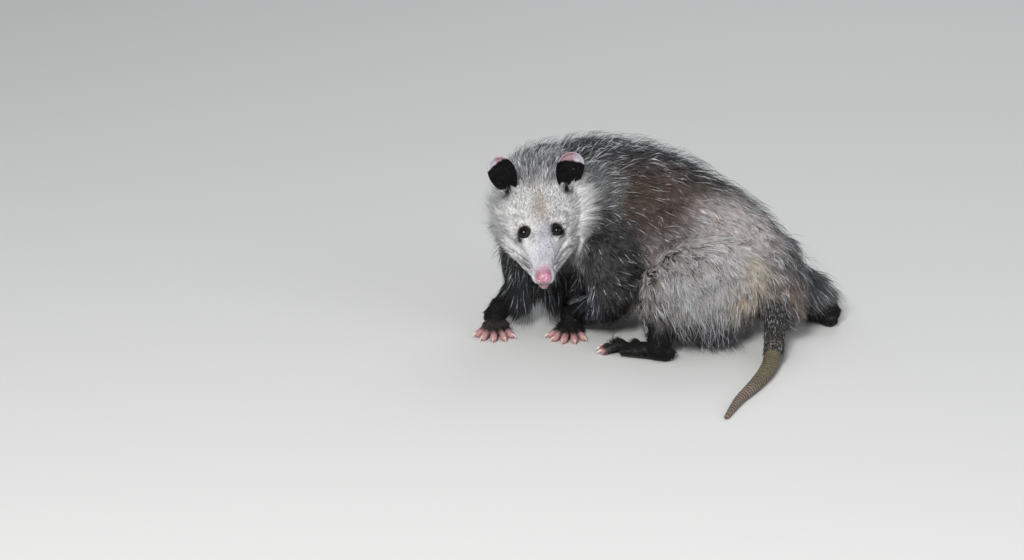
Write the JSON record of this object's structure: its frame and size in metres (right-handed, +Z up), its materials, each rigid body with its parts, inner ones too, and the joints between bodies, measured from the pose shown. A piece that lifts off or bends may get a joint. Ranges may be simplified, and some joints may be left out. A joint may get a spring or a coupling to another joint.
{
  "type": "opossum",
  "caption": "Life-size opossum crouched on the floor, body curled to its left, head lowered to the front, bare tail laid forward.",
  "frame": {"origin": "middle of the base of the whole animal's box, on the floor", "axes": "+Z up; the head looks towards -Y and the viewer of the picture; the animal's rump is towards +X"},
  "size_m": [0.4092, 0.4198, 0.228],
  "materials": {
    "face_fur": "short white fur with a grey-brown wash round the eyes",
    "nape_fur": "grey coat with dark roots and long white-tipped guard hairs",
    "back_fur": "brown-grey coat with dark roots and long pale guard hairs",
    "haunch_fur": "pale cream coat over dark underfur",
    "leg_fur": "short black-brown fur",
    "eye": "wet black",
    "nose_skin": "moist pink skin",
    "ear_skin": "thin bare black skin with a pale pink rim",
    "foot_skin": "dark skin with pink toes and pale claws",
    "tail_skin": "scaly skin in rings, dark at the root and pale beyond"
  },
  "bodies": {
    "root": {"arm_left": "leg_fur", "arm_right": "leg_fur", "ear_left": "ear_skin", "ear_right": "ear_skin", "eye_left": "eye", "eye_right": "eye", "forearm_left": "leg_fur", "forearm_right": "leg_fur", "forefoot_left": "foot_skin", "forefoot_right": "foot_skin", "head": "face_fur", "hindfoot_left": "foot_skin", "hindfoot_right": "foot_skin", "jaw": "face_fur", "neck": "nape_fur", "nose": "nose_skin", "shin_left": "leg_fur", "shin_right": "leg_fur", "tail_1": "tail_skin", "tail_2": "tail_skin", "tail_3": "tail_skin", "tail_4": "tail_skin", "tail_5": "tail_skin", "thigh_left": "haunch_fur", "thigh_right": "haunch_fur", "torso": "back_fur"}
  },
  "joints": []
}
